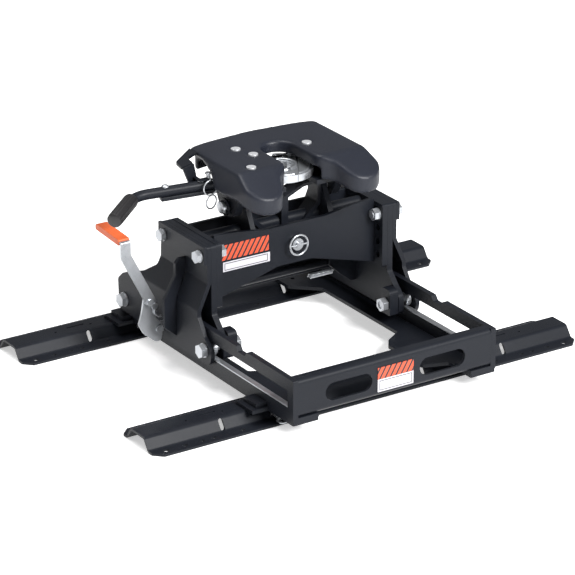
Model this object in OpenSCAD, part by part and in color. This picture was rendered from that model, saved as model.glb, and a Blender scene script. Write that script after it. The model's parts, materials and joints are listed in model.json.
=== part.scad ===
// Fifth wheel hitch on a roller slider. Millimetres, +X to the right, +Y towards the cab, +Z up.
// The origin lies on the truck bed, in the middle of the bolt pattern of the two base rails.

/* [Base rails] */
// Distance between the centre lines of the two rails
rail_spacing = 558.8; // [540:0.1:580]
// Length of each rail
rail_length = 1103; // [1090:1:1120]
// Height of the rail's raised top
rail_height = 30; // [29:0.5:31]
// Thickness of the rail's steel
rail_steel = 5; // [4:0.5:6]
// Distance between the outermost bolt holes along a rail
rail_bolt_span = 1036.8; // [1020:0.1:1050]

/* [Slider tracks] */
// Distance between the outer faces of the two track walls
track_width = 524; // [520:1:528]
// Thickness of a track wall
track_steel = 13; // [12:0.5:14]
// Height of the wall's top edge above the truck bed
track_top = 133; // [128:1:136]
// Tailgate end of the tracks
track_tail = -432; // [-436:1:-428]
// Cab end of the tracks
track_cab = 285; // [282:1:290]
// Travel of the carriage towards the tailgate
slide_travel = 295; // [250:1:300]

/* [Carriage] */
// Radius of the four rollers
roller_r = 16; // [15:0.1:16.5]
// Radius of the bolts that carry the rollers
axle_r = 8; // [7:0.5:9]
// Height of the tops of the leg plates
leg_top = 310; // [305:1:315]
// Middle of the yoke and of the king pin, towards the cab
yoke_y = 25; // [22:1:28]
// Distance between the outer faces of the yoke's two end plates
yoke_width = 448; // [446:1:450]
// Fore and aft depth of the yoke over its two beam plates
yoke_depth = 124; // [120:1:128]

/* [Head] */
// Height of the head's flat top
head_top = 460; // [455:1:465]
// Width over the head's side skirts
head_width = 366; // [360:1:370]
// Height of the skirts
head_skirt = 57; // [50:1:60]
// Fall of the rear lobes, in degrees
ramp_angle = 27; // [24:1:30]
// Height of the pivot that the head tilts on
pivot_z = 352; // [350:1:356]
// Radius of the bore that the jaws close round the king pin
kingpin_r = 25.6; // [25.5:0.1:25.8]

/* [Hidden] */
$fn = 48;

rail_half = rail_spacing / 2;
rail_width = 156;
flange_hole_y = 61.2;
bolt_hole_r = 6.75;
hook_x = 240;
rail_pin_z = 14;
rail_pin_r = 6;

wall_out = track_width / 2;
wall_in = wall_out - track_steel;
plate_top = rail_height + 8;
crossbar_low = 46;
slot_low = 66;
slot_high = 105;
strip_t = 3;
roller_gap = 0.3;
roller_z = slot_low + strip_t + roller_gap + roller_r;
tail_roller_y = -97;
cab_roller_y = 243;

end_out = yoke_width / 2;
end_in = end_out - 14;
inner_leg_out = end_out + 14;
outer_leg_out = inner_leg_out + 10;
foot_out = wall_out + 12.5;
block_in = 201;
beam_steel = 10;
beam_tail_y = yoke_y - yoke_depth / 2;
beam_cab_y = yoke_y + yoke_depth / 2;
upper_bolts = [yoke_y - 76, yoke_y + 76];
upper_bolt_z = 285;
upper_bolt_r = 8;
beam_pin_z = 256;
beam_pin_r = 8;

lock_y = 67;
lock_r = 8;
notch_z = 122;
lock_low_z = notch_z + lock_r + 0.3;
lock_z = track_top + lock_r + 0.6;
lever_y = 65.5;
lever_pivot_x = 290;
lever_pivot_z = 82;
lever_bolt_places = [[-316, 151], [-305, 141]];

support_in = 96;
pivot_r = 12;
cheek_in = 118;
ramp_y = -62;
throat_y = 30;
throat_floor = 431;
skirt_low = head_top - head_skirt;
screw_r = 11;
screw_places = [
  [-69.7, 25], [69.7, 25], [-84.6, 73.3], [-117, -41.4]
];
jaw_low = 403;
jaw_high = 420;
jaw_r = 74;
jaw_pin_x = 52;
jaw_pin_y = 66;
jaw_pin_r = 9;
bar_r = 12;
bar_inner = [-142, 40, 403.5];
bar_bend = [-334, 90, 394];
bar_axis = unit(bar_bend - bar_inner);
bar_tip = bar_bend + [-84, -58, -19];
safety_x = -172;
safety_y = 47.5;
tab_low = 414.9;
tab_high = 417.4;
bracket_y = 71;

black = "#2b2b2d";
black_top = "#34363d";
zinc = "#c3c8cc";
orange = "#f0703a";
white = "#eceaf0";

// ---- helpers -------------------------------------------------------------------------------

function unit(v) = v / norm(v);
function left_of(v) = [-v[1], v[0]];
function turned(v, a) = [v[0] * cos(a) - v[1] * sin(a), v[0] * sin(a) + v[1] * cos(a)];

// Points of one bend at b, between a and c, for a line d to the left of the centre line
function bend(a, b, c, r, d, n = 6) =
  let (
    u = unit(b - a),
    w = unit(c - b),
    side = cross(u, w) >= 0 ? 1 : -1,
    angle = acos(max(-1, min(1, u * w))),
    start = b - u * r * tan(angle / 2),
    out = -side * left_of(u),
    centre = start - out * r
  )
  [for (i = [0:n]) centre + turned(out, side * angle * i / n) * (r - side * d)];

// One edge of a bent strip, d to the left of its centre line
function strip_edge(p, r, d) =
  let (last = len(p) - 1)
  concat(
    [p[0] + left_of(unit(p[1] - p[0])) * d],
    [for (i = [1:last - 1]) for (q = bend(p[i - 1], p[i], p[i + 1], r, d)) q],
    [p[last] + left_of(unit(p[last] - p[last - 1])) * d]
  );

function reversed(p) = [for (i = [len(p) - 1:-1:0]) p[i]];

// Outline of a strip of thickness t, bent at the radius r along the points p
module strip(p, t, r) {
  polygon(concat(strip_edge(p, r, t / 2), reversed(strip_edge(p, r, -t / 2))));
}

// Outline with its corners rounded: each row is [x, y, corner radius]
function rounded(p) =
  let (n = len(p))
  [for (i = [0:n - 1])
    let (
      a = [p[(i + n - 1) % n][0], p[(i + n - 1) % n][1]],
      b = [p[i][0], p[i][1]],
      c = [p[(i + 1) % n][0], p[(i + 1) % n][1]]
    )
    for (q = p[i][2] > 0 ? bend(a, b, c, p[i][2], 0) : [b]) q];

// Extrusions along X and along Y, of outlines drawn as [y, z] and as [x, z]
module along_x(x0, x1) {
  translate([x0, 0, 0]) rotate([90, 0, 90]) linear_extrude(x1 - x0) children();
}
module along_y(y0, y1) {
  translate([0, y1, 0]) rotate([90, 0, 0]) linear_extrude(y1 - y0) children();
}
module block(lo, hi) {
  translate(lo) cube(hi - lo);
}
module rod_x(x0, x1, y, z, r) {
  translate([x0, y, z]) rotate([0, 90, 0]) cylinder(h = x1 - x0, r = r);
}
module rod_y(y0, y1, x, z, r) {
  translate([x, y1, z]) rotate([90, 0, 0]) cylinder(h = y1 - y0, r = r);
}
module rod_z(z0, z1, x, y, r) {
  translate([x, y, z0]) cylinder(h = z1 - z0, r = r);
}
module both_sides() {
  children();
  mirror([1, 0, 0]) children();
}

// Children drawn along +Z from the origin are turned to lie along the line from p to q.
// Their local +X then points down.
module aim(p, q) {
  v = q - p;
  translate(p) rotate([0, acos(v[2] / norm(v)), atan2(v[1], v[0])]) children();
}

module rod_between(p, q, r) {
  aim(p, q) cylinder(h = norm(q - p), r = r);
}

// Hexagon along X
module hex_x(x0, x1, y, z, across) {
  translate([x0, y, z]) rotate([0, 90, 0]) cylinder(h = x1 - x0, r = across / sqrt(3), $fn = 6);
}

// ---- base rails ----------------------------------------------------------------------------

module rail_section() {
  mid = rail_steel / 2;
  strip([
    [-rail_width / 2, mid], [-44, mid], [-26, rail_height - mid],
    [26, rail_height - mid], [44, mid], [rail_width / 2, mid]
  ], rail_steel, 9);
}

module rail(y) {
  end = rail_length / 2;
  chamfer = 28;
  difference() {
    translate([0, y, 0]) along_x(-end, end) rail_section();
    for (sx = [-1, 1]) for (sy = [-1, 1])
      translate([sx * end, y + sy * rail_width / 2, 0])
        rotate([0, 0, 45]) cube([chamfer, chamfer, 14], center = true);
    for (sx = [-1, 1]) for (sy = [-1, 1]) {
      rod_z(-1, rail_steel + 1, sx * rail_bolt_span / 2, y + sy * flange_hole_y, bolt_hole_r);
      for (x = [472, 430, 401, 330, 61])
        rod_z(-1, rail_steel + 1, sx * x, y + sy * flange_hole_y, 5.5);
    }
    for (sx = [-1, 1]) {
      for (x = [367, 150]) translate([sx * x, y, 0]) along_y(-60, 60) web_slot();
      rod_y(y - 60, y + 60, sx * hook_x, rail_pin_z, 6.6);
      translate([sx * hook_x, y, rail_height]) cube([46, 21, 16], center = true);
      translate([sx * 381, y + 4, rail_height]) cube([44, 5, 14], center = true);
      for (x = [436, 346]) rod_z(rail_height - 8, rail_height + 1, sx * x, y - 4, 3);
    }
  }
}

module web_slot() {
  for (z = [10, 22]) translate([0, z]) circle(5.5);
  translate([0, 16]) square([11, 12], center = true);
}

module front_rail() {
  color(black_top) rail(rail_half);
}
module rear_rail() {
  color(black_top) rail(-rail_half);
}

// Hooks under the base plates, which drop through the rails and take the cross pins
module rail_hooks() {
  color(black)
    for (sx = [-1, 1]) for (y = [-rail_half, rail_half])
      difference() {
        block([sx * hook_x - 21, y - 9, 7.5], [sx * hook_x + 21, y + 9, rail_height]);
        rod_y(y - 10, y + 10, sx * hook_x, rail_pin_z, rail_pin_r + 0.1);
      }
}

// Cross pin with a pull head, which holds one hook in its rail
module rail_pin(sx, y) {
  rod_y(y - 62, y + 50, sx * hook_x, rail_pin_z, rail_pin_r);
  rod_y(y - 68, y - 62, sx * hook_x, rail_pin_z, 8.4);
  difference() {
    rod_z(rail_pin_z - 2, rail_pin_z + 2, sx * hook_x, y - 82, 17);
    rod_z(rail_pin_z - 3, rail_pin_z + 3, sx * hook_x, y - 82, 13);
  }
}
module left_tail_rail_pin() {
  color(zinc) rail_pin(-1, -rail_half);
}
module right_tail_rail_pin() {
  color(zinc) rail_pin(1, -rail_half);
}
module left_cab_rail_pin() {
  color(zinc) rail_pin(-1, rail_half);
}
module right_cab_rail_pin() {
  color(zinc) rail_pin(1, rail_half);
}

// ---- slider base ---------------------------------------------------------------------------

// Points along the top of a wall at the notch round y, from the cab side to the tailgate side
function notch(y) = [
  [y + 22, track_top, 3], [y + 13, notch_z, 2], [y - 13, notch_z, 2], [y - 22, track_top, 3]
];

module track_wall() {
  difference() {
    along_x(wall_in, wall_out) polygon(rounded(concat(
      [[track_tail, plate_top, 0], [track_cab, plate_top, 0], [track_cab, track_top, 14]],
      notch(lock_y), notch(lock_y - slide_travel), [[track_tail, track_top, 4]]
    )));
    block([wall_in - 1, -410, slot_low], [wall_out + 1, 273, slot_high]);
  }
}
module left_track_wall() {
  color(black) mirror([1, 0, 0]) track_wall();
}
module right_track_wall() {
  color(black) track_wall();
}

// Floor plate of one track, with wide ends that lie on the rails inside and outside the wall
module base_plate() {
  inner = 197;
  tab = 138;
  difference() {
    union() {
      translate([0, 0, rail_height]) linear_extrude(plate_top - rail_height) polygon(rounded([
        [wall_out, track_tail, 3], [wall_out, track_cab, 3], [tab, track_cab, 12],
        [tab, 208, 6], [160, 186, 6], [inner, 152, 6], [inner, -152, 6], [155, -178, 6],
        [tab, -202, 6], [tab, -330, 12], [inner, -350, 6], [inner, track_tail, 3]
      ]));
      for (y = [-303, 258])
        block([wall_out, y - 32, rail_height], [wall_out + 40, y + 32, plate_top]);
      for (y = [-303, 258])
        block([wall_out, y - 24, plate_top], [wall_out + 26, y + 24, plate_top + 10]);
      block([inner, track_tail, plate_top], [wall_in, track_tail + 60, crossbar_low]);
    }
    for (y = [-236, 236]) rod_z(0, 60, 170, y, 5);
  }
}
module left_base_plate() {
  color(black) mirror([1, 0, 0]) base_plate();
}
module right_base_plate() {
  color(black) base_plate();
}

module wear_strip() {
  block([wall_in, -409.5, slot_low], [wall_out, 272.5, slot_low + strip_t]);
}
module left_wear_strip() {
  color(zinc) mirror([1, 0, 0]) wear_strip();
}
module right_wear_strip() {
  color(zinc) wear_strip();
}

// Folded channel between the tracks, open towards the cab
module tail_crossbar() {
  depth = 27;
  steel = 6;
  face = track_tail + steel / 2;
  low = crossbar_low + steel / 2;
  high = track_top - steel / 2;
  color(black) difference() {
    along_x(-wall_in, wall_in) strip([
      [track_tail + depth, low], [face, low], [face, high], [track_tail + depth, high]
    ], steel, 9);
    for (side = [-1, 1])
      along_y(track_tail - 1, track_tail + steel + 1) crossbar_slot(side * 121);
  }
}

module crossbar_slot(x) {
  slot_r = 20.5;
  for (end = [-1, 1]) translate([x + end * 39, 87]) circle(slot_r);
  translate([x, 87]) square([78, 2 * slot_r], center = true);
}

module base_label() {
  color(orange) block([-48, track_tail - 1.2, 86], [44, track_tail, 113]);
  color(white) block([-48, track_tail - 1.2, 57], [44, track_tail, 86]);
}

// ---- carriage ------------------------------------------------------------------------------

// Side outline of an outer leg plate, as [y, z]
outer_leg_outline = rounded([
  [-70, leg_top, 6], [-70, 152, 10], [-97, 114, 12], [-130, 92, 26], [-120, 54, 20],
  [268, 54, 20], [272, 128, 14], [250, 147, 12], [170, 178, 12], [128, 206, 10], [122, leg_top, 6]
]);
inner_leg_outline = rounded([
  [-70, leg_top, 6], [-70, 150, 10], [-95, 124, 12], [-118, 104, 16], [-118, 60, 10],
  [264, 60, 10], [264, 118, 12], [126, 196, 12], [122, leg_top, 6]
]);

module leg_bores(x0, x1) {
  for (y = upper_bolts) rod_x(x0, x1, y, upper_bolt_z, upper_bolt_r);
  for (y = [tail_roller_y, cab_roller_y]) rod_x(x0, x1, y, roller_z, axle_r);
}

// Upright slot that the lock bar rises in
module lock_slot(x0, x1) {
  rod_x(x0, x1, lock_y, lock_low_z - 0.5, lock_r + 0.6);
  rod_x(x0, x1, lock_y, lock_z + 2, lock_r + 0.6);
  block([x0, lock_y - lock_r - 0.6, lock_low_z - 0.5], [x1, lock_y + lock_r + 0.6, lock_z + 2]);
}

module outer_leg() {
  t = outer_leg_out - inner_leg_out;
  top_x = outer_leg_out - t / 2;
  foot_x = foot_out - t / 2;
  difference() {
    intersection() {
      along_y(-140, 290) strip([
        [top_x, leg_top + 1], [top_x, 224], [foot_x, 164], [foot_x, 40]
      ], t, 14);
      along_x(inner_leg_out - 1, foot_out + 1) polygon(outer_leg_outline);
    }
    leg_bores(inner_leg_out - 2, foot_out + 2);
    lock_slot(inner_leg_out - 2, foot_out + 2);
  }
}
module left_outer_leg() {
  color(black) mirror([1, 0, 0]) outer_leg();
}
module right_outer_leg() {
  color(black) outer_leg();
}

module inner_leg() {
  difference() {
    along_x(end_out, inner_leg_out) polygon(inner_leg_outline);
    leg_bores(end_out - 1, inner_leg_out + 1);
    lock_slot(end_out - 1, inner_leg_out + 1);
  }
}
module left_inner_leg() {
  color(black) mirror([1, 0, 0]) inner_leg();
}
module right_inner_leg() {
  color(black) inner_leg();
}

module leg_doublers() {
  color(black) both_sides() difference() {
    block([outer_leg_out, -70, 268], [outer_leg_out + 8, 122, leg_top]);
    leg_bores(outer_leg_out - 1, outer_leg_out + 9);
  }
}

module leg_ribs() {
  reach = 30;
  color(black) both_sides() along_y(18, 28) polygon([
    [outer_leg_out, 258], [outer_leg_out + 18, 258], [outer_leg_out + reach - 3, 248],
    [outer_leg_out + reach - 3, 220], [foot_out + reach, 168], [foot_out + reach, 102],
    [foot_out, 77], [foot_out, 167], [outer_leg_out, 229]
  ]);
}

module yoke_end() {
  difference() {
    along_x(end_in, end_out) polygon(rounded([
      [-70, 162, 4], [120, 162, 4], [120, leg_top + 1, 6], [-70, leg_top + 1, 6]
    ]));
    for (y = upper_bolts) for (z = [0, 1, 2, 3])
      rod_x(end_in - 1, end_out + 1, y, upper_bolt_z - z * 32.5, upper_bolt_r);
  }
}
module left_yoke_end() {
  color(black) mirror([1, 0, 0]) yoke_end();
}
module right_yoke_end() {
  color(black) yoke_end();
}

// Beam plate facing the tailgate: dipped along the top and arched along the bottom
module yoke_tail_beam() {
  color(black) difference() {
    along_y(beam_tail_y, beam_tail_y + beam_steel) polygon(rounded([
      [-end_in, 317, 0], [-150, 314, 80], [-80, 303, 80], [80, 303, 80], [150, 314, 80],
      [end_in, 317, 0], [end_in, 165, 0], [44, 210, 60], [-44, 210, 60], [-end_in, 165, 0]
    ]));
    rod_y(beam_tail_y - 1, beam_tail_y + beam_steel + 1, 0, beam_pin_z, beam_pin_r + 0.06);
  }
}

module yoke_cab_beam() {
  color(black) along_y(beam_cab_y - beam_steel, beam_cab_y)
    polygon([[-end_in, 122], [end_in, 122], [end_in, 304], [-end_in, 304]]);
}

module yoke_gussets() {
  color(black) both_sides() along_y(52, 58) polygon([
    [150, 172], [150, 138], [178, 112], [end_in, 88], [end_out, 88],
    [end_out, 161.5], [end_in, 161.5], [end_in, 172]
  ]);
}

module yoke_label() {
  color(orange) block([-198, beam_tail_y - 1, 255], [-70, beam_tail_y, 290]);
  color(white) block([-188, beam_tail_y - 1, 228], [-67, beam_tail_y, 250]);
}

module yoke_bolts() {
  head_x = outer_leg_out + 8;
  color(zinc) both_sides() for (y = upper_bolts) {
    rod_x(end_in - 18, head_x, y, upper_bolt_z, upper_bolt_r);
    rod_x(head_x, head_x + 3, y, upper_bolt_z, 14);
    hex_x(head_x + 3, head_x + 12, y, upper_bolt_z, 25);
  }
}

module yoke_nuts() {
  color(zinc) both_sides() for (y = upper_bolts)
    difference() {
      union() {
        rod_x(end_in - 3, end_in, y, upper_bolt_z, 14);
        hex_x(end_in - 15, end_in - 3, y, upper_bolt_z, 25);
      }
      rod_x(end_in - 19, end_in + 1, y, upper_bolt_z, upper_bolt_r);
    }
}

module axle_bolts() {
  color(zinc) both_sides() for (y = [tail_roller_y, cab_roller_y]) {
    rod_x(block_in - 12, foot_out, y, roller_z, axle_r);
    rod_x(foot_out, foot_out + 3, y, roller_z, 16);
    hex_x(foot_out + 3, foot_out + 14, y, roller_z, 28);
  }
}

module axle_nuts() {
  color(zinc) both_sides() for (y = [tail_roller_y, cab_roller_y])
    difference() {
      hex_x(block_in - 14, block_in, y, roller_z, 28);
      rod_x(block_in - 15, block_in + 1, y, roller_z, axle_r);
    }
}

// Rounded housings on the inside of the inner legs, which carry the ends of the axles
module axle_blocks() {
  color(black) both_sides() for (y = [tail_roller_y, cab_roller_y])
    difference() {
      along_x(block_in, end_out) polygon(rounded([
        [y - 19, 61, 3], [y + 19, 61, 3], [y + 19, 122, 10], [y - 19, 122, 12]
      ]));
      rod_x(block_in - 1, end_out + 1, y, roller_z, axle_r);
    }
}

module roller(side, y) {
  mid = side * (wall_out + wall_in) / 2;
  difference() {
    rod_x(mid - 6.2, mid + 6.2, y, roller_z, roller_r);
    rod_x(mid - 7, mid + 7, y, roller_z, axle_r + 0.05);
  }
}
module left_tail_roller() {
  color(zinc) roller(-1, tail_roller_y);
}
module left_cab_roller() {
  color(zinc) roller(-1, cab_roller_y);
}
module right_tail_roller() {
  color(zinc) roller(1, tail_roller_y);
}
module right_cab_roller() {
  color(zinc) roller(1, cab_roller_y);
}

// ---- slide lock ----------------------------------------------------------------------------

// Bar across both tracks, drawn lifted: it drops into the notches of their top edges
module lock_bar() {
  color(black) rod_x(-foot_out - 6.5, foot_out + 12, lock_y, lock_z, lock_r);
}

// Closed outer shape of the return spring's coils and hooks
module lock_spring() {
  color(zinc) {
    rod_x(92, 152, 46, 127, 6);
    rod_x(152, 160, 46, 127, 3);
    rod_x(84, 92, 46, 127, 3);
    rod_y(46, 52, 157, 127, 3);
  }
}

// Lug on the left leg that the lever turns on
module lever_mount() {
  color(zinc) {
    block([-lever_pivot_x - 12, lever_y + 6, lever_pivot_z - 12],
      [-foot_out, lever_y + 12, lever_pivot_z + 12]);
    rod_y(lever_y - 0.5, lever_y + 6, -lever_pivot_x, lever_pivot_z, 6);
    rod_y(lever_y - 4, lever_y - 0.5, -lever_pivot_x, lever_pivot_z, 9);
  }
}

module slide_lever() {
  color(zinc) {
    difference() {
      along_y(lever_y - 5, lever_y) polygon(rounded([
        [-386, 300, 0], [-362, 300, 0], [-362, 274, 12], [-299, 151, 3], [-304, 141, 8],
        [-325, 146, 8], [-334, 166, 3], [-386, 268, 14]
      ]));
      for (p = lever_bolt_places) rod_y(lever_y - 6, lever_y + 1, p[0], p[1], 5);
    }
    translate([-386, 0, 0]) along_x(0, 24) lever_bend();
  }
}

// Top of the lever, bent over into the grip, as [y, z]
module lever_bend() {
  strip([
    [lever_y - 2.5, 299.9], [lever_y - 2.5, 304], [lever_y + 4, 304], [lever_y + 25, 305.5]
  ], 5, 2.5);
}

module lever_grip() {
  color(orange) translate([-387.5, 0, 0]) difference() {
    along_x(0, 27) polygon(rounded([
      [lever_y + 3, 297, 3], [lever_y + 104, 303, 4], [lever_y + 104, 317, 5], [lever_y + 3, 311, 4]
    ]));
    translate([1.5, 0, 0]) along_x(0, 24) lever_bend();
  }
}

module lever_bolts() {
  color(zinc) for (p = lever_bolt_places) {
    rod_y(lever_y - 5, lever_y + 5, p[0], p[1], 5);
    rod_y(lever_y - 9, lever_y - 5, p[0], p[1], 7.5);
  }
}

module lever_bracket() {
  color(zinc) difference() {
    along_y(lever_y, lever_y + 5) polygon(rounded([
      [-328, 164, 4], [-335, 124, 8], [-343, 101, 6], [-331, 79, 6], [-313, 62, 8], [-300, 52, 6],
      [-286, 52, 6], [-282.5, 66, 6], [-282.5, 92, 8], [-300, 112, 12], [-298, 140, 6],
      [-308, 160, 5]
    ]));
    rod_y(lever_y - 1, lever_y + 6, -lever_pivot_x, lever_pivot_z, 6.05);
    for (p = lever_bolt_places) rod_y(lever_y - 1, lever_y + 6, p[0], p[1], 5);
  }
}

// Bent link from the bracket towards the end of the lock bar
module lever_link() {
  color(zinc) along_y(lever_y - 4.5, lever_y)
    strip([[-303, 135], [-302, 122], [-292, 112], [-286, 113]], 5, 5);
}

// ---- head ----------------------------------------------------------------------------------

// Two uprights on the yoke that carry the head's pivot
module head_support() {
  color(black) {
    both_sides() difference() {
      along_x(support_in, support_in + 12) polygon(rounded([
        [beam_tail_y + beam_steel, 256, 0], [beam_cab_y - beam_steel, 256, 0],
        [beam_cab_y - beam_steel, 300, 8], [yoke_y + 20, 366, 8], [yoke_y - 20, 366, 8],
        [beam_tail_y + beam_steel, 300, 8]
      ]));
      rod_x(support_in - 1, support_in + 13, yoke_y, pivot_z, pivot_r + 0.05);
    }
    along_y(yoke_y - 20, yoke_y + 20) {
      strip([[-support_in - 12, 368.2], [-84, 371], [-48, 368], [0, 347]], 7, 16);
      strip([[support_in + 12, 368.2], [84, 371], [48, 368], [0, 347]], 7, 16);
    }
    both_sides() along_y(yoke_y - 20, yoke_y + 20)
      strip([[90.9, 366], [90.9, 320], [50, 282]], 10, 12);
    block([-9, yoke_y - 20, 282], [9, yoke_y + 20, 347]);
    rod_x(-end_in, end_in, yoke_y, 290, 14);
  }
}

module pivot_pins() {
  color(zinc) both_sides() {
    rod_x(support_in, cheek_in + 24, yoke_y, pivot_z, pivot_r);
    rod_x(cheek_in + 24, cheek_in + 28, yoke_y, pivot_z, 20);
    rod_x(cheek_in + 28, cheek_in + 38, yoke_y, pivot_z, 14.5);
  }
}

// Plan of the head, with the throat that the king pin enters by
module head_plan() {
  half = [
    [0, 161, 300], [120, 151, 300], [182, 136, 42], [182, -50, 80], [167, -145, 50],
    [94, -142, 44], [70, -84, 40], [39, -60, 30], [39, throat_y, 0]
  ];
  difference() {
    polygon(rounded(concat(half, [for (i = [8 : -1 : 1]) [-half[i][0], half[i][1], half[i][2]]])));
    translate([0, throat_y]) circle(39);
  }
}

// The head's outer shape, before it is hollowed from below
module head_blank() {
  half = head_width / 2;
  intersection() {
    linear_extrude(500) head_plan();
    along_x(-200, 200) polygon([
      [170, head_top], [ramp_y, head_top], [-150, head_top - (-150 - ramp_y) * -tan(ramp_angle)],
      [-150, 377], [ramp_y - 8, skirt_low], [170, skirt_low]
    ]);
    along_y(-200, 200) polygon([
      [-half, 330], [half, 330], [half, skirt_low], [164, head_top], [-164, head_top],
      [-half, skirt_low]
    ]);
  }
}

module head_plate() {
  color(black_top) difference() {
    head_blank();
    linear_extrude(throat_floor) polygon([
      [-170, -64], [170, -64], [170, 124], [110, 138], [-110, 138], [-170, 124]
    ]);
    along_x(-200, -150) polygon([
      [170, 446], [80, 446], [39, throat_floor], [8, skirt_low - 1], [8, 300], [170, 300]
    ]);
    for (p = screw_places) rod_z(head_top - 8, head_top + 1, p[0], p[1], screw_r);
  }
}

// Side plates under the head, which turn on the pivot pins
module head_cheeks() {
  color(black) both_sides() difference() {
    along_x(cheek_in, cheek_in + 20) polygon(rounded([
      [-36, throat_floor, 0], [86, throat_floor, 0], [86, 404, 10], [yoke_y + 24, 330, 20],
      [yoke_y - 24, 330, 20], [-36, 404, 10]
    ]));
    rod_x(cheek_in - 1, cheek_in + 21, yoke_y, pivot_z, pivot_r + 0.05);
    mirror([1, 0, 0]) rod_between(bar_inner - 40 * bar_axis, bar_inner + 10 * bar_axis, 6.8);
  }
}

// Plate under the jaws, open towards the tailgate like the throat
module jaw_shelf() {
  color(black) difference() {
    block([-cheek_in, -62, jaw_low - 11], [cheek_in, 122, jaw_low - 0.4]);
    block([-40, -63, jaw_low - 12], [40, throat_y, jaw_low]);
    rod_z(jaw_low - 12, jaw_low, 0, throat_y, 40);
    both_sides() rod_z(jaw_low - 12, jaw_low, jaw_pin_x, jaw_pin_y, jaw_pin_r);
  }
}

module head_screws() {
  color(zinc) for (p = screw_places) rod_z(head_top - 8, head_top + 0.6, p[0], p[1], screw_r);
}

// Half of the locking jaws, closed round the king pin
module jaw() {
  translate([0, 0, jaw_low]) linear_extrude(jaw_high - jaw_low) difference() {
    union() {
      intersection() {
        translate([0, yoke_y]) circle(jaw_r, $fn = 72);
        translate([0.4, -60]) square([100, 122]);
      }
      translate([jaw_pin_x, jaw_pin_y]) circle(17);
    }
    translate([0, yoke_y]) circle(kingpin_r);
    translate([jaw_pin_x, jaw_pin_y]) circle(jaw_pin_r + 0.06);
  }
}
module left_jaw() {
  color(zinc) mirror([1, 0, 0]) jaw();
}
module right_jaw() {
  color(zinc) jaw();
}
module jaw_pins() {
  color(zinc) both_sides() rod_z(jaw_low - 11, throat_floor, jaw_pin_x, jaw_pin_y, jaw_pin_r);
}

module release_bar() {
  color(black) {
    difference() {
      rod_between(bar_inner, bar_bend, bar_r);
      rod_z(bar_inner[2], bar_inner[2] + 20, safety_x, safety_y, 6.6);
    }
    rod_between(bar_inner - 22 * bar_axis, bar_inner + 5 * bar_axis, 6);
    aim(bar_inner, bar_bend) translate([9, -10, 2]) cube([11, 20, 139]);
  }
}
module release_grip() {
  way = unit(bar_tip - bar_bend);
  color("#1c1c1e") rod_between(bar_bend - 4 * way, bar_tip + 3 * way, 17.5);
}

// Wing at the head's left rear corner, with a strap down to the release bar and a pin tab
module release_bracket() {
  color(black) {
    difference() {
      intersection() {
        along_y(60, 160) strip([[-158, 456], [-222, 437]], 6, 1);
        linear_extrude(500) polygon(rounded([
          [-158, 140, 0], [-214, 114, 8], [-219, 80, 4], [-193, 75, 4], [-190, 104, 8],
          [-168, 108, 6], [-158, 84, 0]
        ]));
      }
      head_blank();
    }
    along_y(bracket_y, bracket_y + 6) polygon([
      [-219, 436], [-219, 440], [-193, 447], [-184, 404], [-206, 404]
    ]);
    difference() {
      block([-196, safety_y - 7, tab_low], [-166, safety_y + 7, tab_high]);
      rod_z(tab_low - 1, tab_high + 1, safety_x, safety_y, 4.06);
    }
    block([-196, safety_y + 6, tab_low], [-188, bracket_y + 1, tab_high]);
  }
}

module safety_pin() {
  color(zinc) {
    rod_z(tab_low, 426.5, safety_x, safety_y, 4);
    rod_z(426.5, 431, safety_x, safety_y, 7);
  }
}
module safety_clip() {
  color(zinc) {
    rod_between([safety_x, safety_y - 7.6, 429], [-177, 29.5, 418], 1.6);
    translate([-177, 29.5, 401]) rotate([90, 0, 0]) rotate_extrude() translate([17, 0]) circle(1.6);
    translate([-175, 29.5, 368]) rotate([0, 0, 15]) rotate([90, 0, 0])
      rotate_extrude() translate([15.5, 0]) circle(1.8);
  }
}

module beam_pin() {
  color(zinc) {
    rod_y(beam_tail_y - 4, beam_tail_y + 16, 0, beam_pin_z, beam_pin_r);
    rod_y(beam_tail_y - 12, beam_tail_y - 4, 0, beam_pin_z, 14);
    rod_y(beam_tail_y - 17, beam_tail_y - 12, 0, beam_pin_z, 6);
    rod_x(-20.7, 20.7, beam_tail_y - 15, beam_pin_z, 1.8);
  }
}
module beam_ring() {
  color(zinc) translate([0, beam_tail_y - 15, beam_pin_z]) rotate([90, 0, 0])
    rotate_extrude() translate([23, 0]) circle(2.2);
}

front_rail();
rear_rail();
left_track_wall();
right_track_wall();
left_base_plate();
right_base_plate();
left_wear_strip();
right_wear_strip();
tail_crossbar();
rail_hooks();
base_label();
left_tail_rail_pin();
right_tail_rail_pin();
left_cab_rail_pin();
right_cab_rail_pin();
left_outer_leg();
right_outer_leg();
left_inner_leg();
right_inner_leg();
leg_doublers();
leg_ribs();
left_yoke_end();
right_yoke_end();
yoke_tail_beam();
yoke_cab_beam();
yoke_gussets();
yoke_label();
yoke_bolts();
yoke_nuts();
axle_bolts();
axle_nuts();
axle_blocks();
head_support();
pivot_pins();
lock_spring();
lever_mount();
left_tail_roller();
left_cab_roller();
right_tail_roller();
right_cab_roller();
lock_bar();
slide_lever();
lever_grip();
lever_bolts();
lever_bracket();
lever_link();
head_plate();
head_cheeks();
jaw_shelf();
head_screws();
jaw_pins();
release_bracket();
left_jaw();
right_jaw();
release_bar();
release_grip();
safety_pin();
safety_clip();
beam_pin();
beam_ring();
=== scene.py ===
import json
import math
import bpy
from mathutils import Matrix, Vector

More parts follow.
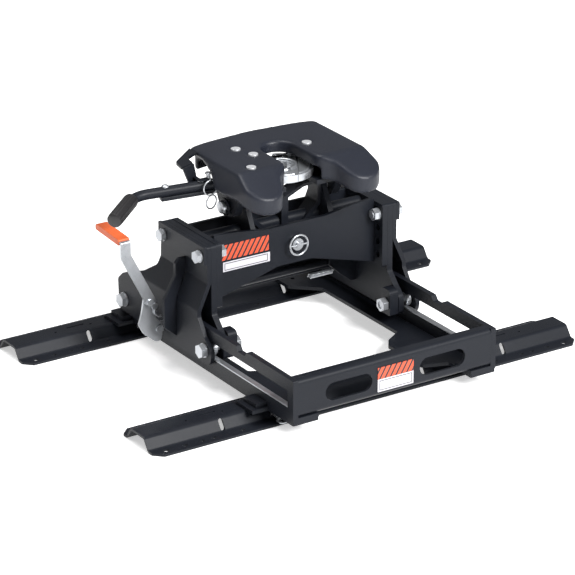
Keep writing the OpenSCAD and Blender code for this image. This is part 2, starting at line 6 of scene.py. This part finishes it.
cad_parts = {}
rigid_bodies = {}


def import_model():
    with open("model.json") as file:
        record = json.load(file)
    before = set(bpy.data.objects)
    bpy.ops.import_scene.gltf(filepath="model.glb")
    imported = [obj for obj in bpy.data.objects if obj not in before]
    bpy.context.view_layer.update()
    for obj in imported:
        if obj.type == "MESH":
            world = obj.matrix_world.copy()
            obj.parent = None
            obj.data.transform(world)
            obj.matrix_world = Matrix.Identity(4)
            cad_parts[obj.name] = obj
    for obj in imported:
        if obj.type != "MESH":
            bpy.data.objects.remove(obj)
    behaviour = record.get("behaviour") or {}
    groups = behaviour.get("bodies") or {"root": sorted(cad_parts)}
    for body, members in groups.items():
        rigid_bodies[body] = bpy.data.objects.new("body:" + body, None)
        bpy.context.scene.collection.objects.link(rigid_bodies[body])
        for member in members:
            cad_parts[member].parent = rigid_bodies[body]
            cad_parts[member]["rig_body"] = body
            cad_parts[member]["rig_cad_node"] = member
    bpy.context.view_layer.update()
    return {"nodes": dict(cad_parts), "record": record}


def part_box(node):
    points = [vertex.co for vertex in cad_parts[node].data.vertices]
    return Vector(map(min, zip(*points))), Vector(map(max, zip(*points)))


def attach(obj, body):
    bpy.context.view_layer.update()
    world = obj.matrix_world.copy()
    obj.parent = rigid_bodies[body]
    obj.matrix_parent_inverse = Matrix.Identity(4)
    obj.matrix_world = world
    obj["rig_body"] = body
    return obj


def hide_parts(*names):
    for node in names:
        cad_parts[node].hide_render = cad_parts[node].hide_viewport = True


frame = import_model()

# ---- Floor, light and camera ----------------------------------------------------------------
# The hitch stands on a seamless white studio floor, which glows a little so that it has no hard
# shadows. Two large soft boxes and a dim pale room light it. A long lens looks down on it from
# the left tailgate corner.

scene = bpy.context.scene
scene.view_settings.view_transform = "Standard"

floor_size = 40.0
floor_drop = 0.0008


class Sum:
    """A shader socket, or a number, that can be added to and multiplied as the tree is drawn."""

    def __init__(self, tree, socket):
        self.tree = tree
        self.socket = socket

    def maths(self, operation, *terms):
        node = self.tree.nodes.new("ShaderNodeMath")
        node.operation = operation
        for place, term in enumerate(terms):
            if isinstance(term, Sum):
                self.tree.links.new(term.socket, node.inputs[place])
            else:
                node.inputs[place].default_value = term
        return Sum(self.tree, node.outputs[0])

    def __add__(self, other):
        return self.maths("ADD", self, other)

    def __radd__(self, other):
        return self.maths("ADD", other, self)

    def __sub__(self, other):
        return self.maths("SUBTRACT", self, other)

    def __rsub__(self, other):
        return self.maths("SUBTRACT", other, self)

    def __mul__(self, other):
        return self.maths("MULTIPLY", self, other)

    def __rmul__(self, other):
        return self.maths("MULTIPLY", other, self)

    def __truediv__(self, other):
        return self.maths("DIVIDE", self, other)

    def __gt__(self, other):
        return self.maths("GREATER_THAN", self, other)

    def __lt__(self, other):
        return self.maths("LESS_THAN", self, other)

    def clipped(self, low, high):
        return self.maths("MAXIMUM", self.maths("MINIMUM", self, high), low)

    def node(self, kind, output=0, links=(), **settings):
        """Any other node, from its (input, Sum) links and from its attributes and inputs."""
        made = self.tree.nodes.new(kind)
        for name, value in settings.items():
            if hasattr(made, name):
                setattr(made, name, value)
            else:
                made.inputs[name.replace("_", " ")].default_value = value
        for name, value in links:
            self.tree.links.new(value.socket, made.inputs[name])
        return Sum(self.tree, made.outputs[output])


def new_finish(name, **constants):
    """A new material, its shader with the constants set, and a Sum of Object coordinates."""
    material = bpy.data.materials.new(name)
    material.use_nodes = True
    shader = material.node_tree.nodes["Principled BSDF"]
    for key, value in constants.items():
        shader.inputs[key.replace("_", " ")].default_value = value
    place = Sum(material.node_tree, None).node("ShaderNodeTexCoord", output="Object")
    return material, shader, place


def grain(place, scale, detail=3.0, stretch=(1, 1, 1)):
    """Noise from 0 to 1 over the piece's own coordinates."""
    if stretch != (1, 1, 1):
        place = place.node("ShaderNodeMapping", links=[("Vector", place)], Scale=stretch)
    return place.node(
        "ShaderNodeTexNoise", links=[("Vector", place)], Scale=scale, Detail=detail, Roughness=0.55
    )


def blend_colours(amount, first, second):
    """The first colour where amount is 0 and the second where it is 1. Either may be a Sum."""
    mix = amount.tree.nodes.new("ShaderNodeMix")
    mix.data_type = "RGBA"
    amount.tree.links.new(amount.socket, mix.inputs[0])
    for place, colour in ((6, first), (7, second)):
        if isinstance(colour, Sum):
            amount.tree.links.new(colour.socket, mix.inputs[place])
        else:
            mix.inputs[place].default_value = colour
    return Sum(amount.tree, mix.outputs[2])


def feed(shader, name, value):
    value.tree.links.new(value.socket, shader.inputs[name])


def bump(shader, height, distance, strength=1.0):
    feed(shader, "Normal", height.node(
        "ShaderNodeBump", links=[("Height", height)], Distance=distance, Strength=strength
    ))


bpy.ops.mesh.primitive_plane_add(size=floor_size, location=(0, 0, -floor_drop))
floor = bpy.context.object
floor.name = "studio_floor"
white_floor, shader, place = new_finish("white_floor", Roughness=0.9, Emission_Strength=0.5)
shader.inputs["Base Color"].default_value = (0.86, 0.86, 0.86, 1)
shader.inputs["Emission Color"].default_value = (1, 1, 1, 1)
feed(shader, "Roughness", grain(place, 3.0) * 0.1 + 0.85)
floor.data.materials.append(white_floor)

room = bpy.data.worlds.new("pale_room")
room.use_nodes = True
room.node_tree.nodes["Background"].inputs["Color"].default_value = (1.0, 1.0, 1.0, 1)
room.node_tree.nodes["Background"].inputs["Strength"].default_value = 0.27
scene.world = room


def soft_box(name, place, size, power):
    bpy.ops.object.light_add(type="AREA", location=place)
    box = bpy.context.object
    box.name = name
    box.data.size = size
    box.data.energy = power
    box.rotation_euler = (Vector((0, 0, 0.25)) - Vector(place)).to_track_quat("-Z", "Y").to_euler()


soft_box("key_box", (1.2, -5.5, 4.2), 2.5, 820)
soft_box("top_box", (-0.8, 1.0, 5.0), 3.0, 170)

bpy.ops.object.camera_add(
    location=(-3.81, -5.8922, 3.0627),
    rotation=(math.radians(67.361), 0, math.radians(-32.911)),
)
scene.camera = bpy.context.object
scene.camera.data.sensor_width = 36.0
scene.camera.data.lens = 214.01

# ---- Bed rails ------------------------------------------------------------------------------
# Each rail is a hat section pressed from 5 mm steel, punched along both flanges and through its
# webs, and powder coated. The press leaves every edge slightly rounded.

rail_edge = 0.0011
black = (0.0068, 0.0080, 0.0115, 1)
black_worn = (0.0125, 0.0145, 0.0195, 1)


def powder_coat(name, base, worn, shine=0.16, rough=0.4, peel=0.00022):
    """Satin powder coat: fine orange peel, faint cloudy patches and a thin scatter of dust."""
    material, shader, place = new_finish(
        name, Specular_IOR_Level=shine, Coat_Weight=0.03, Coat_Roughness=0.25
    )
    cloud = grain(place, 9.0, 4.0)
    speck = grain(place, 620.0, 2.0)
    dust = (grain(place, 1500.0, 1.0) - 0.66).clipped(0.0, 1.0) * 4.0
    feed(shader, "Base Color", blend_colours(
        (cloud * 0.9 + speck * 0.35 - 0.35 + dust).clipped(0.0, 1.0), base, worn
    ))
    feed(shader, "Roughness", cloud * 0.12 + speck * 0.08 + (rough - 0.08))
    bump(shader, grain(place, 900.0, 2.0) + cloud * 0.6, peel)
    return material


coat = powder_coat("satin_black_coat", black, black_worn)
weld = 0.00001
flat_angle = math.radians(0.6)


def finished(node, edge, material, turns=2, angle=32):
    """A merged copy of a CAD node, with its sharp edges rounded, that takes the node's place."""
    bpy.ops.object.select_all(action="DESELECT")
    source = frame["nodes"][node]
    source.select_set(True)
    bpy.context.view_layer.objects.active = source
    bpy.ops.object.duplicate()
    piece = bpy.context.object
    piece.parent = None
    piece.matrix_world = Matrix.Identity(4)
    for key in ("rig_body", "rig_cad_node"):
        del piece[key]
    piece.name = node + "_finished"
    piece.data.name = piece.name
    bpy.ops.object.mode_set(mode="EDIT")
    bpy.ops.mesh.select_all(action="SELECT")
    bpy.ops.mesh.remove_doubles(threshold=weld)
    bpy.ops.mesh.dissolve_limited(angle_limit=flat_angle)
    bpy.ops.object.mode_set(mode="OBJECT")
    if edge:
        bpy.ops.object.modifier_add(type="BEVEL")
        rounding = piece.modifiers[-1]
        rounding.width = edge
        rounding.segments = turns
        rounding.limit_method = "ANGLE"
        rounding.angle_limit = math.radians(angle)
        rounding.use_clamp_overlap = True
        bpy.ops.object.modifier_apply(modifier=rounding.name)
    bpy.ops.object.shade_smooth_by_angle(angle=math.radians(32))
    bpy.ops.object.modifier_add(type="WEIGHTED_NORMAL")
    piece.modifiers[-1].keep_sharp = True
    bpy.ops.object.modifier_apply(modifier=piece.modifiers[-1].name)
    paint(piece, material)
    stand_for(piece, node)
    return piece


def paint(piece, material):
    piece.data.materials.clear()
    piece.data.materials.append(material)


def stand_for(piece, *replaced):
    """The piece takes the place of these nodes, and rides on their body."""
    bodies = frame["record"]["behaviour"]["bodies"]
    body = next(name for name, members in bodies.items() if replaced[0] in members)
    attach(piece, body)
    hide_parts(*replaced)


for rail in ("front_rail", "rear_rail"):
    finished(rail, rail_edge, coat)

# ---- Slider base ----------------------------------------------------------------------------
# Two thick walls with long windows stand on floor plates that lie across the rails. A folded
# channel ties them at the tailgate end, and bright strips line the windows under the rollers.

plate_edge = 0.0014
zinc_light = (0.58, 0.60, 0.63, 1)
zinc_dark = (0.33, 0.345, 0.365, 1)


def zinc_plate(name, light, dark, rough=0.3, brushed=(1, 1, 1)):
    """Bright zinc: metal with cloudy bluish patches and fine rolling marks along one way."""
    material, shader, place = new_finish(name, Metallic=0.8)
    cloud = grain(place, 26.0, 5.0)
    marks = grain(place, 700.0, 3.0, brushed)
    feed(shader, "Base Color", blend_colours(
        (cloud * 1.1 + marks * 0.5 - 0.35).clipped(0.0, 1.0), dark, light
    ))
    feed(shader, "Roughness", (rough - 0.12) + cloud * 0.14 + marks * 0.12)
    bump(shader, marks + cloud * 0.5, 0.00012)
    return material


zinc = zinc_plate("bright_zinc", zinc_light, zinc_dark)
zinc_strip = zinc_plate("rolled_zinc", zinc_light, zinc_dark, 0.34, (1, 0.04, 1))

for node in (
    "left_track_wall", "right_track_wall", "left_base_plate", "right_base_plate",
    "tail_crossbar", "rail_hooks",
):
    finished(node, plate_edge, coat)
for node in ("left_wear_strip", "right_wear_strip"):
    finished(node, 0.0004, zinc_strip)

# ---- Rail pins ------------------------------------------------------------------------------
# Four plated pins hold the base's hooks in the rails. Each is a turned pin whose tail is bent
# into a flat pull loop, so a gloved finger can draw it.

pin_r = 0.006
pin_z = 0.014
collar_r = 0.0084
pin_wire = 0.0024
loop_half = 0.0145
loop_bend = 0.006


def tube_along(name, points, radius, closed=False, round_by=0.0, sides=4):
    """A round bar through the points, as a mesh. Corners are rounded when round_by isn't 0."""
    points = [Vector(p) for p in points]
    curve = bpy.data.curves.new(name, "CURVE")
    curve.dimensions = "3D"
    curve.bevel_depth = radius
    curve.bevel_resolution = sides
    curve.use_fill_caps = True
    if round_by:
        path = [points[0]]
        for before, corner, after in zip(points, points[1:], points[2:]):
            start = corner + (before - corner).normalized() * round_by
            end = corner + (after - corner).normalized() * round_by
            for step in range(9):
                t = step / 8
                path.append(start * (1 - t) ** 2 + corner * 2 * t * (1 - t) + end * t ** 2)
        path.append(points[-1])
        points = path
    line = curve.splines.new("POLY")
    line.points.add(len(points) - 1)
    for point, position in zip(line.points, points):
        point.co = (*position, 1)
    line.use_cyclic_u = closed
    bar = bpy.data.objects.new(name, curve)
    scene.collection.objects.link(bar)
    bpy.ops.object.select_all(action="DESELECT")
    bar.select_set(True)
    bpy.context.view_layer.objects.active = bar
    bpy.ops.object.convert(target="MESH")
    bpy.ops.object.shade_smooth_by_angle(angle=math.radians(40))
    return bpy.context.object


def joined(name, *parts):
    bpy.ops.object.select_all(action="DESELECT")
    for part in parts:
        part.select_set(True)
    bpy.context.view_layer.objects.active = parts[0]
    bpy.ops.object.join()
    bpy.context.object.name = name
    return bpy.context.object


def turned(name, start, end, radius, edge=0.0006, corners=40):
    """A turned pin between two points, with its ends chamfered."""
    start, end = Vector(start), Vector(end)
    bpy.ops.object.select_all(action="DESELECT")
    bpy.ops.mesh.primitive_cylinder_add(
        vertices=corners, radius=radius, depth=(end - start).length, location=(start + end) / 2,
        rotation=(end - start).to_track_quat("Z", "Y").to_euler(),
    )
    bpy.ops.object.transform_apply(location=True, rotation=True, scale=True)
    pin = bpy.context.object
    pin.name = name
    bpy.ops.object.modifier_add(type="BEVEL")
    pin.modifiers[-1].width = edge
    pin.modifiers[-1].segments = 2
    pin.modifiers[-1].angle_limit = math.radians(40)
    bpy.ops.object.modifier_apply(modifier=pin.modifiers[-1].name)
    bpy.ops.object.shade_smooth_by_angle(angle=math.radians(35))
    return pin


for side in ("left", "right"):
    for end in ("tail", "cab"):
        node = f"{side}_{end}_rail_pin"
        low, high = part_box(node)
        x = (low[0] + high[0]) / 2
        tail = low[1]
        bar = turned(node + "_bar", (x, tail + 0.034, pin_z), (x, high[1], pin_z), pin_r, 0.0012)
        collar = turned(
            node + "_collar", (x, tail + 0.031, pin_z), (x, tail + 0.037, pin_z), collar_r
        )
        loop = tube_along(
            node + "_loop",
            [(x + across, tail + along, pin_z) for across, along in (
                (-0.004, 0.032), (-loop_half, 0.022), (-loop_half, 0.003),
                (loop_half, 0.003), (loop_half, 0.022), (0.004, 0.032),
            )],
            pin_wire, round_by=loop_bend,
        )
        pin = joined(node + "_made", bar, collar, loop)
        paint(pin, zinc)
        stand_for(pin, node)

# ---- Carriage -------------------------------------------------------------------------------
# Thick profiled leg plates, joggled outwards at the foot, are bolted through doublers to a yoke
# of two beams between end plates. Ribs stiffen the legs, and the lot is powder coated.

for node in (
    "left_outer_leg", "right_outer_leg", "left_inner_leg", "right_inner_leg", "leg_doublers",
    "leg_ribs", "left_yoke_end", "right_yoke_end", "yoke_tail_beam", "yoke_cab_beam",
    "yoke_gussets", "axle_blocks", "head_support",
):
    finished(node, plate_edge, coat)
for node in (
    "yoke_bolts", "yoke_nuts", "axle_bolts", "axle_nuts", "lever_mount",
    "left_tail_roller", "left_cab_roller", "right_tail_roller", "right_cab_roller",
):
    finished(node, 0.0009, zinc)

# ---- Pivot pins -----------------------------------------------------------------------------
# The head turns on two plated pins. Each is turned with a wide cap, chamfered round its rim,
# which stands on a black washer.

pivot_y = 0.025
pivot_z = 0.352
shank_r = 0.0119
cap_r = 0.0145
washer_r = 0.02
cap_edge = 0.0022


def on_pivot(x):
    return (x, pivot_y, pivot_z)


for side, sign in (("left", -1), ("right", 1)):
    shank = turned(
        side + "_pivot_shank", on_pivot(sign * 0.0962), on_pivot(sign * 0.143), shank_r
    )
    cap = turned(
        side + "_pivot_cap", on_pivot(sign * 0.1455), on_pivot(sign * 0.156), cap_r, cap_edge
    )
    pin = joined(side + "_pivot_pin", shank, cap)
    paint(pin, zinc)
    if side == "left":
        stand_for(pin, "pivot_pins")
    else:
        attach(pin, "carriage")
    washer = turned(
        side + "_pivot_washer", on_pivot(sign * 0.142), on_pivot(sign * 0.146), washer_r
    )
    paint(washer, coat)
    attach(washer, "carriage")

# ---- Labels ---------------------------------------------------------------------------------
# Printed film stuck to the tail beam and the crossbar: orange diagonal bars on black, over a
# white field with a thin frame. There is no lettering.

bar_pitch = 0.014
bar_slant = 0.6
gap_share = 0.36
line_half = 0.0009
film_orange = (0.56, 0.065, 0.022, 1)
film_black = (0.012, 0.011, 0.012, 1)
film_white = (0.52, 0.51, 0.55, 1)
film_ink = (0.05, 0.05, 0.055, 1)


def label_film(name, middle, split, white_box):
    """Orange bars above the split height, and below it a white field with a thin frame."""
    material, shader, place = new_finish(name, Roughness=0.35)
    parts = place.tree.nodes.new("ShaderNodeSeparateXYZ")
    place.tree.links.new(place.socket, parts.inputs[0])
    x = Sum(place.tree, parts.outputs[0])
    z = Sum(place.tree, parts.outputs[2])
    slant = (x - z * bar_slant) / bar_pitch
    gap = slant.maths("FRACT", slant) < gap_share
    orange = blend_colours(gap, film_orange, film_black)
    half_x, low, high = white_box

    def far(value):
        return value.maths("ABSOLUTE", value)

    edge_x = far(far(x - middle) - half_x) < line_half
    edge_z = (far(z - low) < line_half) + (far(z - high) < line_half)
    inside = (far(x - middle) < half_x + line_half) * (z > low - 0.001) * (z < high + 0.001)
    frame_line = ((edge_x + edge_z) * inside).clipped(0.0, 1.0)
    pale = blend_colours(frame_line, film_white, film_ink)
    feed(shader, "Base Color", blend_colours(z > split, pale, orange))
    feed(shader, "Roughness", grain(place, 60.0) * 0.15 + 0.28)
    bump(shader, grain(place, 400.0), 0.00004)
    return material


base_film = label_film("base_film", -0.002, 0.086, (0.041, 0.061, 0.082))
yoke_film = label_film("yoke_film", -0.1285, 0.2525, (0.055, 0.2315, 0.2465))
finished("base_label", 0, base_film)
finished("yoke_label", 0, yoke_film)

# ---- Slide lock -----------------------------------------------------------------------------
# A black bar across both tracks drops into notches when the flat zinc lever swings inwards. The
# lever's top is dipped in orange rubber, and a coil spring under the yoke takes up the slack.

orange = (0.66, 0.115, 0.022, 1)
orange_deep = (0.46, 0.07, 0.013, 1)


def dipped(name, base, deep, rough):
    """Dipped soft plastic: faint runs, tiny pits and a handled sheen."""
    material, shader, place = new_finish(name, Subsurface_Weight=0.0)
    cloud = grain(place, 45.0, 4.0)
    pits = grain(place, 900.0, 2.0)
    feed(shader, "Base Color", blend_colours(
        (cloud * 0.9 + pits * 0.3 - 0.3).clipped(0.0, 1.0), base, deep
    ))
    feed(shader, "Roughness", cloud * 0.2 + (rough - 0.1))
    bump(shader, pits + cloud, 0.0003)
    return material


finished("lock_bar", 0.001, coat)
for node in ("slide_lever", "lever_bracket", "lever_link", "lever_bolts"):
    finished(node, 0.0009, zinc)
orange_dip = dipped("orange_dip", orange, orange_deep, 0.45)
finished("lever_grip", 0.003, orange_dip, turns=4)

low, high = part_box("lock_spring")
axis_y = 0.046
axis_z = 0.127
coil_r = 0.0052
spring_wire = 0.0011
hook_bend = 0.0015
coil_start = 0.092
coil_length = 0.060
turns = 20
steps = 14
coil = []
for step in range(turns * steps + 1):
    a = 2 * math.pi * step / steps
    x = coil_start + coil_length * step / (turns * steps)
    coil.append((x, axis_y + coil_r * math.cos(a), axis_z + coil_r * math.sin(a)))
tail_hook = [
    (low[0] + 0.002, axis_y, axis_z), (0.09, axis_y, axis_z), (0.0935, axis_y + coil_r, axis_z)
]
leg_hook = [
    (0.1515, axis_y + coil_r, axis_z), (0.154, axis_y, axis_z), (0.1585, axis_y, axis_z),
    (0.1585, high[1] - 0.0012, axis_z),
]
spring = joined(
    "return_spring",
    tube_along("spring_coil", coil, spring_wire, sides=2),
    tube_along("spring_tail", tail_hook, spring_wire, round_by=hook_bend, sides=2),
    tube_along("spring_hook", leg_hook, spring_wire, round_by=hook_bend, sides=2),
)
paint(spring, zinc)
stand_for(spring, "lock_spring")

# ---- Head -----------------------------------------------------------------------------------
# The head is a heavy casting: a flat skid top that falls away to two rounded lobes, with side
# skirts and a long throat. All its edges are blended, and four plated screws sit in its top.

skin_cell = 0.0026
blend_passes = 48
casting_black = (0.0095, 0.0112, 0.0175, 1)
casting_worn = (0.0165, 0.0192, 0.0285, 1)
casting = powder_coat("cast_head_coat", casting_black, casting_worn, 0.3, 0.38, 0.00028)
head = finished("head_plate", 0, casting)
bpy.ops.object.select_all(action="DESELECT")
head.select_set(True)
bpy.context.view_layer.objects.active = head
bpy.ops.object.modifier_add(type="REMESH")
head.modifiers[-1].mode = "VOXEL"
head.modifiers[-1].voxel_size = skin_cell
bpy.ops.object.modifier_apply(modifier=head.modifiers[-1].name)
bpy.ops.object.modifier_add(type="SMOOTH")
head.modifiers[-1].factor = 0.5
head.modifiers[-1].iterations = blend_passes
bpy.ops.object.modifier_apply(modifier=head.modifiers[-1].name)
bpy.ops.object.shade_smooth()

for node in ("head_cheeks", "jaw_shelf", "release_bracket"):
    finished(node, 0.0012, coat)
finished("jaw_pins", 0.0012, zinc)
# The head screws get a near-white copy of the zinc plating: a painted highlight for the light
# their flat tops catch.
screw_zinc_painted_highlight = zinc_plate("screw_zinc_painted_highlight", (0.95, 0.96, 0.98, 1), (0.80, 0.82, 0.85, 1), 0.4)
finished("head_screws", 0.0012, screw_zinc_painted_highlight)

# ---- Jaws -----------------------------------------------------------------------------------
# Two forged half rings, zinc plated, close round the king pin. A raised lip runs round the bore
# and another round the rim.

jaw_edge = 0.0028
bore_y = 0.025
lip_z = 0.4195
bore_lip = (0.034, 0.0046)
rim_lip = (0.0655, 0.003)
for side, sign in (("left", -1), ("right", 1)):
    finished(side + "_jaw", jaw_edge, zinc, turns=3)
    for ridge, (ridge_r, ridge_wire) in enumerate((bore_lip, rim_lip)):
        arc = [
            (sign * (0.001 + ridge_r * math.sin(a)), bore_y - ridge_r * math.cos(a), lip_z)
            for a in (math.radians(4 + 5 * k) for k in range(33))
        ]
        lip = tube_along(f"{side}_jaw_ridge_{ridge}", arc, ridge_wire, sides=3)
        paint(lip, zinc)
        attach(lip, "jaw_on_" + side)

# ---- Release handle -------------------------------------------------------------------------
# A black tube comes out through the left skirt and bends back into a ribbed rubber grip. A flat
# link is riveted along its underside.

tube_r = 0.012
rod_r = 0.006
link_size = (0.0195, 0.140, 0.0095)
tube_in = Vector((-0.142, 0.04, 0.4035))
tube_bend = Vector((-0.334, 0.09, 0.394))
tube_tip = tube_bend + Vector((-0.084, -0.058, -0.019))
tube_way = (tube_bend - tube_in).normalized()
grip_way = (tube_tip - tube_bend).normalized()

tube = tube_along(
    "release_tube", [tube_in, tube_bend, tube_tip - grip_way * 0.01], tube_r * 0.985,
    round_by=0.03, sides=8,
)
rod = turned("release_rod", tube_in - tube_way * 0.022, tube_in, rod_r)
across = tube_way.cross(Vector((0, 0, 1))).normalized()
down = tube_way.cross(across).normalized()
if down.z > 0:
    down = -down
bpy.ops.object.select_all(action="DESELECT")
bpy.ops.mesh.primitive_cube_add(size=1)
link = bpy.context.object
link_middle = Matrix.Translation(tube_in + tube_way * 0.0705 + down * 0.0150)
link_turn = Matrix((across, tube_way, down)).transposed().to_4x4()
link.matrix_world = link_middle @ link_turn @ Matrix.Diagonal((*link_size, 1))
bpy.ops.object.transform_apply(location=True, rotation=True, scale=True)
bpy.ops.object.mode_set(mode="EDIT")
bpy.ops.mesh.select_all(action="SELECT")
bpy.ops.mesh.normals_make_consistent(inside=False)
bpy.ops.mesh.bevel(offset=0.0016, segments=2)
bpy.ops.object.mode_set(mode="OBJECT")
handle = joined("release_handle_bar", tube, rod, link)
paint(handle, coat)
stand_for(handle, "release_bar")

grip_r = 0.0172
grip_start = 0.014
groove_depth = 0.0009
ribs = 18
around = ribs * 8
length = (tube_tip - tube_bend).length + 0.003 - grip_start
profile = [
    (0.0, 0.80), (0.0015, 0.93), (0.005, 1.0),
    (length - 0.006, 1.0), (length - 0.0018, 0.95), (length, 0.82),
]
side_way = grip_way.cross(Vector((0, 0, 1))).normalized()
up_way = side_way.cross(grip_way).normalized()
start = tube_bend + grip_way * grip_start
verts = []
faces = []
for distance, share in profile:
    ribbed = 0.006 < distance + 0.002 < length - 0.002
    for k in range(around):
        a = 2 * math.pi * k / around
        groove = groove_depth * (0.5 - 0.5 * math.cos(a * ribs)) if ribbed else 0.0
        outwards = side_way * math.cos(a) + up_way * math.sin(a)
        verts.append(start + grip_way * distance + outwards * (grip_r * share - groove))
for row in range(len(profile) - 1):
    first = row * around
    for k in range(around):
        n = (k + 1) % around
        faces.append((first + k, first + n, first + around + n, first + around + k))
faces.append(tuple(range(around)))
faces.append(tuple(reversed(range((len(profile) - 1) * around, len(profile) * around))))
grip_mesh = bpy.data.meshes.new("release_sleeve")
grip_mesh.from_pydata(verts, [], faces)
sleeve = bpy.data.objects.new("release_sleeve", grip_mesh)
scene.collection.objects.link(sleeve)
bpy.ops.object.select_all(action="DESELECT")
sleeve.select_set(True)
bpy.context.view_layer.objects.active = sleeve
bpy.ops.object.mode_set(mode="EDIT")
bpy.ops.mesh.select_all(action="SELECT")
bpy.ops.mesh.normals_make_consistent(inside=False)
bpy.ops.object.mode_set(mode="OBJECT")
bpy.ops.object.shade_smooth_by_angle(angle=math.radians(40))
rubber_black = (0.0105, 0.0095, 0.0105, 1)
rubber_deep = (0.0055, 0.005, 0.0055, 1)
rubber = dipped("black_rubber", rubber_black, rubber_deep, 0.42)
paint(sleeve, rubber)
stand_for(sleeve, "release_grip")


def rivet(name, at, up, radius, body):
    """A domed rivet head, its flat side on the metal."""
    bpy.ops.object.select_all(action="DESELECT")
    bpy.ops.mesh.primitive_uv_sphere_add(segments=24, ring_count=12, radius=radius)
    head_of_rivet = bpy.context.object
    head_of_rivet.name = name
    stand = up.to_track_quat("Z", "Y").to_matrix().to_4x4()
    head_of_rivet.matrix_world = Matrix.Translation(at) @ stand @ Matrix.Diagonal((1, 1, 0.5, 1))
    bpy.ops.object.transform_apply(location=True, rotation=True, scale=True)
    bpy.ops.object.shade_smooth()
    paint(head_of_rivet, zinc)
    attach(head_of_rivet, body)


crest = tube_in - down * tube_r
rivet("handle_rivet_out", crest + tube_way * 0.128, -down, 0.0085, "release_handle")
rivet("handle_rivet_in", crest + tube_way * 0.047, -down, 0.0075, "release_handle")

# ---- Safety pin and pull pin ----------------------------------------------------------------
# A plated pin with a wire loop and ring drops into the handle to lock it. A pull pin with a
# ring sits in the middle of the tail beam.

loop_top = (-0.177, 0.0295, 0.401)
loop_low = (-0.175, 0.0295, 0.368)
finished("safety_pin", 0.0012, zinc)


def wire_ring(name, middle, radius, wire, turn):
    """A ring of wire that stands upright, turned about its upright line."""
    spin = Matrix.Rotation(turn, 3, "Z")
    points = []
    for k in range(40):
        a = 2 * math.pi * k / 40
        flat = Vector((radius * math.cos(a), 0, radius * math.sin(a)))
        points.append(Vector(middle) + spin @ flat)
    return tube_along(name, points, wire, closed=True)


clip = joined(
    "safety_loop",
    tube_along("loop_stem", [(-0.172, 0.0399, 0.429), (-0.177, 0.0295, 0.418)], 0.0015),
    wire_ring("loop_top", loop_top, 0.017, 0.0016, 0.0),
    wire_ring("loop_low", loop_low, 0.0155, 0.0018, math.radians(15)),
)
paint(clip, zinc)
stand_for(clip, "safety_clip")

finished("beam_pin", 0.001, zinc)
finished("beam_ring", 0, zinc)
